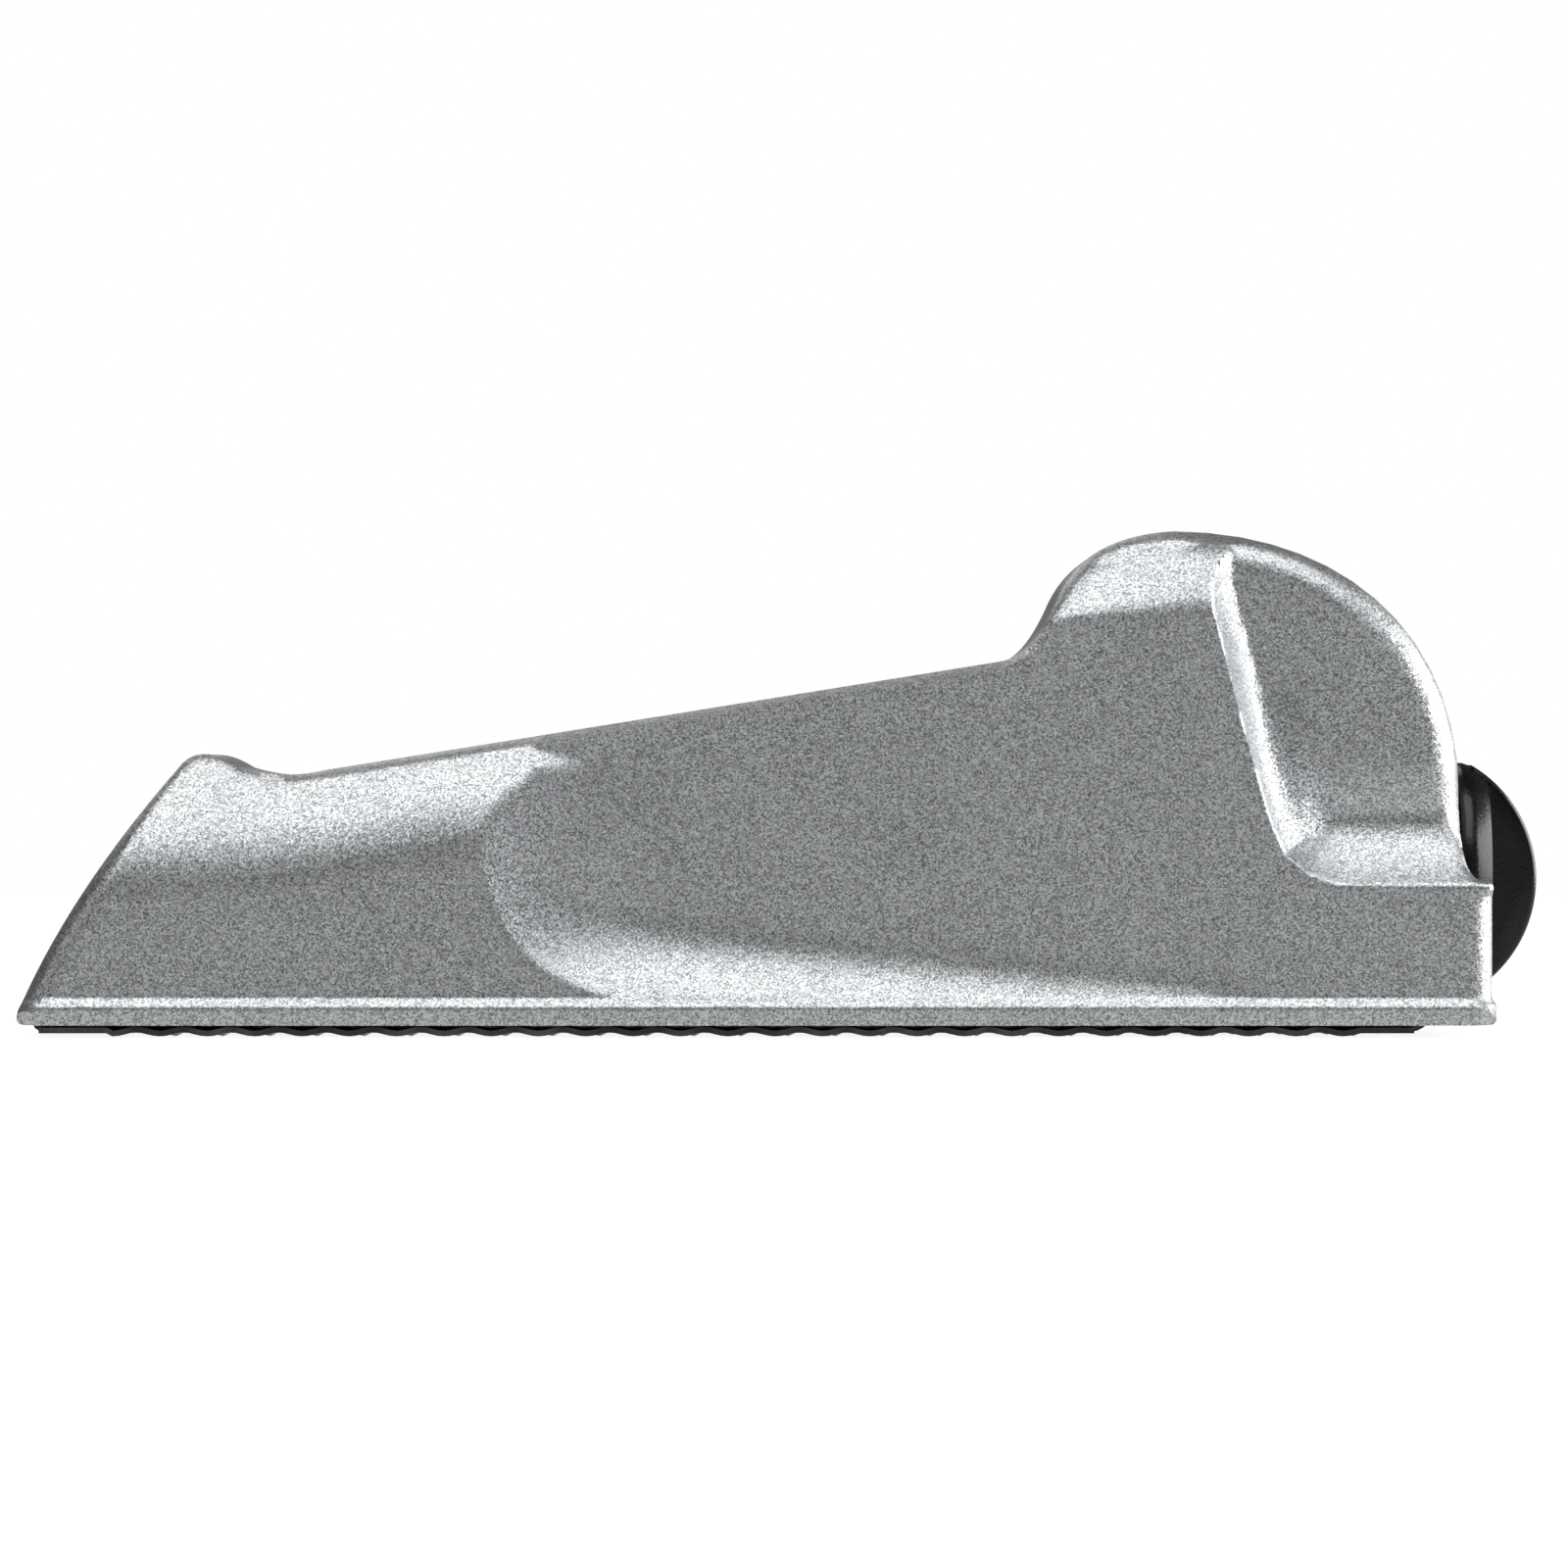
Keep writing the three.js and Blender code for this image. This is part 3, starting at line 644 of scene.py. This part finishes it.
# the tension gear, from the frame's own pieces: name, body, slot and edge rounding
gear = {
    "tension_screw": ("tensionScrew", "knob", "plated_steel", 0.25),
    "thrust_washer": ("thrustWasher", "knob", "plated_steel", 0.12),
    "retaining_ring": ("retainingRing", "knob", "spring_steel", 0.12),
    "tension_hook": ("tensionHook", "hook", "plated_steel", 0.3),
    "square_nut": ("squareNut", "hook", "plated_steel", 0.35),
}


def roundedCopy(node, name, body, slotName, width):
    bm = bmesh.new()
    bm.from_mesh(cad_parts[node].data)
    bmesh.ops.remove_doubles(bm, verts=bm.verts[:], dist=1e-6)
    bmesh.ops.dissolve_limit(bm, angle_limit=math.radians(1), verts=bm.verts[:], edges=bm.edges[:])
    corners = [edge for edge in bm.edges
               if len(edge.link_faces) == 2 and edge.calc_face_angle(0) > 0.6]
    bmesh.ops.bevel(bm, geom=corners, offset=width * mm, offset_type="OFFSET", segments=2, profile=0.5,
                    affect="EDGES", material=-1, clamp_overlap=True)
    obj = newPiece(name, bm, body, node)
    smoothShade(obj, 40)
    return obj


gearObjects = {node: roundedCopy(node, *facts) for node, facts in gear.items()}
print("gear:", ", ".join(gearObjects))

# the finishes
paint = {
    "colour": (0.246, 0.257, 0.264), "shine": (0.425, 0.439, 0.449), "metallic": 0.9, "roughness": 0.43,
    "flakeSize": 0.14, "flakeTilt": 0.2, "flakeShade": 0.75,
    "film": 0.5, "filmRoughness": 0.42, "filmIor": 1.9,
}
steel = {"colour": (0.022, 0.021, 0.022), "worn": (0.11, 0.10, 0.10), "smoothest": 0.28, "roughest": 0.5}
plastic = {
    "colour": (0.0015, 0.0015, 0.002), "cloud": (0.004, 0.004, 0.005), "roughness": 0.24, "grain": 0.14,
    "reflection": 0.24,
}
plating = {"colour": (0.62, 0.63, 0.65), "roughness": 0.28}
spring = {"colour": (0.13, 0.14, 0.16), "roughness": 0.36}


def finish(name):
    material = bpy.data.materials.new(name)
    material.use_nodes = True
    tree = material.node_tree
    return material, tree, tree.nodes["Principled BSDF"]


def add(tree, kind, **values):
    node = tree.nodes.new(kind)
    for key, value in values.items():
        setattr(node, key, value)
    return node


def flakeGroup():
    # metal flakes under a clear film: each cell has its own shade and its own small tilt
    group = bpy.data.node_groups.new("metalFlakes", "ShaderNodeTree")
    face = group.interface
    for name, kind in (("Size", "NodeSocketFloat"), ("Tilt", "NodeSocketFloat")):
        face.new_socket(name=name, in_out="INPUT", socket_type=kind)
    for name, kind in (("Shade", "NodeSocketFloat"), ("Normal", "NodeSocketVector")):
        face.new_socket(name=name, in_out="OUTPUT", socket_type=kind)
    link = group.links.new
    enter = group.nodes.new("NodeGroupInput")
    leave = group.nodes.new("NodeGroupOutput")
    coordinates = group.nodes.new("ShaderNodeTexCoord")
    perUnit = add(group, "ShaderNodeMath", operation="DIVIDE")
    perUnit.inputs[0].default_value = 1
    link(enter.outputs["Size"], perUnit.inputs[1])
    cells = add(group, "ShaderNodeTexVoronoi", voronoi_dimensions="3D", feature="F1")
    link(coordinates.outputs["Object"], cells.inputs["Vector"])
    link(perUnit.outputs[0], cells.inputs["Scale"])
    split = group.nodes.new("ShaderNodeSeparateColor")
    link(cells.outputs["Color"], split.inputs["Color"])
    link(split.outputs["Red"], leave.inputs["Shade"])
    centred = add(group, "ShaderNodeVectorMath", operation="SUBTRACT")
    centred.inputs[1].default_value = (0.5, 0.5, 0.5)
    link(cells.outputs["Color"], centred.inputs[0])
    scaled = add(group, "ShaderNodeVectorMath", operation="SCALE")
    link(centred.outputs[0], scaled.inputs[0])
    link(enter.outputs["Tilt"], scaled.inputs["Scale"])
    surface = group.nodes.new("ShaderNodeNewGeometry")
    tilted = add(group, "ShaderNodeVectorMath", operation="ADD")
    link(surface.outputs["Normal"], tilted.inputs[0])
    link(scaled.outputs[0], tilted.inputs[1])
    unit = add(group, "ShaderNodeVectorMath", operation="NORMALIZE")
    link(tilted.outputs[0], unit.inputs[0])
    link(unit.outputs[0], leave.inputs["Normal"])
    return group


def grainGroup():
    # uneven surface: a cloudy value and a fine bump
    group = bpy.data.node_groups.new("surfaceGrain", "ShaderNodeTree")
    face = group.interface
    for name in ("Cloud size", "Grain size", "Bump"):
        face.new_socket(name=name, in_out="INPUT", socket_type="NodeSocketFloat")
    face.new_socket(name="Cloud", in_out="OUTPUT", socket_type="NodeSocketFloat")
    face.new_socket(name="Grain", in_out="OUTPUT", socket_type="NodeSocketFloat")
    face.new_socket(name="Normal", in_out="OUTPUT", socket_type="NodeSocketVector")
    link = group.links.new
    enter = group.nodes.new("NodeGroupInput")
    leave = group.nodes.new("NodeGroupOutput")
    coordinates = group.nodes.new("ShaderNodeTexCoord")
    noises = []
    for name in ("Cloud size", "Grain size"):
        perUnit = add(group, "ShaderNodeMath", operation="DIVIDE")
        perUnit.inputs[0].default_value = 1
        link(enter.outputs[name], perUnit.inputs[1])
        noise = group.nodes.new("ShaderNodeTexNoise")
        noise.inputs["Detail"].default_value = 3
        link(coordinates.outputs["Object"], noise.inputs["Vector"])
        link(perUnit.outputs[0], noise.inputs["Scale"])
        noises.append(noise)
    link(noises[0].outputs["Fac"], leave.inputs["Cloud"])
    link(noises[1].outputs["Fac"], leave.inputs["Grain"])
    bump = group.nodes.new("ShaderNodeBump")
    bump.inputs["Distance"].default_value = 0.0001
    link(enter.outputs["Bump"], bump.inputs["Strength"])
    link(noises[1].outputs["Fac"], bump.inputs["Height"])
    link(bump.outputs["Normal"], leave.inputs["Normal"])
    return group


flakes = flakeGroup()
grain = grainGroup()


def useGroup(tree, group, **values):
    node = tree.nodes.new("ShaderNodeGroup")
    node.node_tree = group
    for key, value in values.items():
        node.inputs[key.replace("_", " ")].default_value = value
    return node


def rampBetween(tree, source, low, high, start=0.0, end=1.0):
    ramp = tree.nodes.new("ShaderNodeMapRange")
    ramp.inputs["From Min"].default_value = start
    ramp.inputs["From Max"].default_value = end
    ramp.inputs["To Min"].default_value = low
    ramp.inputs["To Max"].default_value = high
    tree.links.new(source, ramp.inputs["Value"])
    return ramp.outputs["Result"]


def mixColours(tree, factor, first, second):
    mix = tree.nodes.new("ShaderNodeMix")
    mix.data_type = "RGBA"
    mix.inputs[6].default_value = (*first, 1)
    mix.inputs[7].default_value = (*second, 1)
    tree.links.new(factor, mix.inputs[0])
    return mix.outputs[2]


def metallicPaint():
    p = paint
    material, tree, shader = finish("metallicPaint")
    link = tree.links.new
    flake = useGroup(tree, flakes, Size=p["flakeSize"] * mm, Tilt=p["flakeTilt"])
    cloud = useGroup(tree, grain, Cloud_size=0.012, Grain_size=0.0006, Bump=0.1)
    dark = tuple(c * (1 - p["flakeShade"]) for c in p["colour"])
    colour = mixColours(tree, flake.outputs["Shade"], dark, p["shine"])
    link(colour, shader.inputs["Base Color"])
    shader.inputs["Metallic"].default_value = p["metallic"]
    low, high = p["roughness"] - 0.04, p["roughness"] + 0.04
    rough = rampBetween(tree, cloud.outputs["Cloud"], low, high, 0.3, 0.7)
    link(rough, shader.inputs["Roughness"])
    link(flake.outputs["Normal"], shader.inputs["Normal"])
    shader.inputs["Coat Weight"].default_value = p["film"]
    shader.inputs["Coat Roughness"].default_value = p["filmRoughness"]
    shader.inputs["Coat IOR"].default_value = p["filmIor"]
    return material


def blackSteel():
    material, tree, shader = finish("blackSteel")
    link = tree.links.new
    skin = useGroup(tree, grain, Cloud_size=0.009, Grain_size=0.0007, Bump=0.35)
    factor = rampBetween(tree, skin.outputs["Cloud"], 0, 0.45, 0.45, 0.75)
    link(mixColours(tree, factor, steel["colour"], steel["worn"]), shader.inputs["Base Color"])
    shader.inputs["Metallic"].default_value = 0.8
    rough = rampBetween(tree, skin.outputs["Grain"], steel["smoothest"], steel["roughest"], 0.3, 0.7)
    link(rough, shader.inputs["Roughness"])
    link(skin.outputs["Normal"], shader.inputs["Normal"])
    return material


def blackPlastic():
    material, tree, shader = finish("blackPlastic")
    link = tree.links.new
    skin = useGroup(tree, grain, Cloud_size=0.007, Grain_size=0.00025, Bump=plastic["grain"])
    factor = rampBetween(tree, skin.outputs["Cloud"], 0, 1, 0.35, 0.7)
    link(mixColours(tree, factor, plastic["colour"], plastic["cloud"]), shader.inputs["Base Color"])
    low, high = plastic["roughness"] - 0.06, plastic["roughness"] + 0.06
    link(rampBetween(tree, skin.outputs["Grain"], low, high, 0.3, 0.7), shader.inputs["Roughness"])
    link(skin.outputs["Normal"], shader.inputs["Normal"])
    shader.inputs["Specular IOR Level"].default_value = plastic["reflection"]
    return material


def platedSteel(name, facts):
    material, tree, shader = finish(name)
    link = tree.links.new
    skin = useGroup(tree, grain, Cloud_size=0.005, Grain_size=0.0003, Bump=0.15)
    dull = tuple(c * 0.72 for c in facts["colour"])
    factor = rampBetween(tree, skin.outputs["Cloud"], 0, 1, 0.35, 0.65)
    link(mixColours(tree, factor, facts["colour"], dull), shader.inputs["Base Color"])
    shader.inputs["Metallic"].default_value = 1
    low, high = facts["roughness"] - 0.08, facts["roughness"] + 0.1
    link(rampBetween(tree, skin.outputs["Grain"], low, high, 0.3, 0.7), shader.inputs["Roughness"])
    link(skin.outputs["Normal"], shader.inputs["Normal"])
    return material


def wear(obj, material):
    obj.data.materials.clear()
    obj.data.materials.append(material)


wear(castingObject, metallicPaint())
wear(bladeObject, blackSteel())
wear(knobObject, blackPlastic())
zinc = platedSteel("zincPlating", plating)
springFinish = platedSteel("springSteel", spring)
for node, obj in gearObjects.items():
    wear(obj, springFinish if node == "retaining_ring" else zinc)
print("finishes done")

# floor, light and camera; each light has a place, an aim, a width, a height and a power
studio = {
    "floorShade": 0.16, "floorGlow": 0.9, "roomShade": 0.055, "fillShade": 0.6, "backdropShade": 1.0,
    "topLight": ((0.02, -0.26, 0.6), (0, 0, 0.02), 0.9, 0.62, 6.8),
    "rightLight": ((0.62, 0.08, 0.17), (0.05, 0, 0.03), 0.7, 0.4, 8.6),
    "leftLight": ((-0.6, -0.3, 0.25), (-0.05, 0, 0.03), 0.3, 0.3, 0.3),
    "backLight": ((-0.25, 0.6, 0.5), (0, 0, 0.03), 0.6, 0.4, 1.0),
    "cameraPlace": (0.0764, -0.9, 0.0252), "lens": 203.4,
}

floorMesh = bmesh.new()
bmesh.ops.create_grid(floorMesh, x_segments=1, y_segments=1, size=2)
floor = plainObject("floor", floorMesh)
floorMaterial, _, floorShader = finish("paleFloor")
floorShader.inputs["Base Color"].default_value = (studio["floorShade"],) * 3 + (1,)
floorShader.inputs["Roughness"].default_value = 0.7
floorShader.inputs["Specular IOR Level"].default_value = 0.1
floorShader.inputs["Emission Color"].default_value = (1, 1, 1, 1)
floorShader.inputs["Emission Strength"].default_value = studio["floorGlow"]
floor.data.materials.append(floorMaterial)


def softbox(name, spot, aim, wide, tall, power):
    light = bpy.data.lights.new(name, "AREA")
    light.shape = "RECTANGLE"
    light.size = wide
    light.size_y = tall
    light.energy = power
    obj = bpy.data.objects.new(name, light)
    obj.location = spot
    obj.rotation_euler = (Vector(aim) - Vector(spot)).to_track_quat("-Z", "Y").to_euler()
    bpy.context.scene.collection.objects.link(obj)


for lightName in ("topLight", "rightLight", "leftLight", "backLight"):
    softbox(lightName, *studio[lightName])


def studioWorld():
    # a white backdrop, with even fill on matt surfaces and a dim room in the metal's reflections
    world = bpy.data.worlds.new("studio")
    bpy.context.scene.world = world
    world.use_nodes = True
    tree = world.node_tree
    room = tree.nodes["Background"]
    room.inputs["Color"].default_value = (studio["roomShade"],) * 3 + (1,)
    ray = tree.nodes.new("ShaderNodeLightPath")
    last = room
    for shade, kind in (("fillShade", "Is Diffuse Ray"), ("backdropShade", "Is Camera Ray")):
        plain = tree.nodes.new("ShaderNodeBackground")
        plain.inputs["Color"].default_value = (studio[shade],) * 3 + (1,)
        mix = tree.nodes.new("ShaderNodeMixShader")
        tree.links.new(ray.outputs[kind], mix.inputs[0])
        tree.links.new(last.outputs[0], mix.inputs[1])
        tree.links.new(plain.outputs[0], mix.inputs[2])
        last = mix
    tree.links.new(last.outputs[0], tree.nodes["World Output"].inputs["Surface"])


studioWorld()
bpy.context.scene.view_settings.view_transform = "Standard"

cameraData = bpy.data.cameras.new("camera")
cameraData.sensor_width = 36
cameraData.lens = studio["lens"]
cameraData.clip_start = 0.01
camera = bpy.data.objects.new("camera", cameraData)
camera.location = Vector(studio["cameraPlace"]) + Vector((toeX, 0, 0))
camera.rotation_euler = (math.pi / 2, 0, 0)
bpy.context.scene.collection.objects.link(camera)
bpy.context.scene.camera = camera
print("stage done")
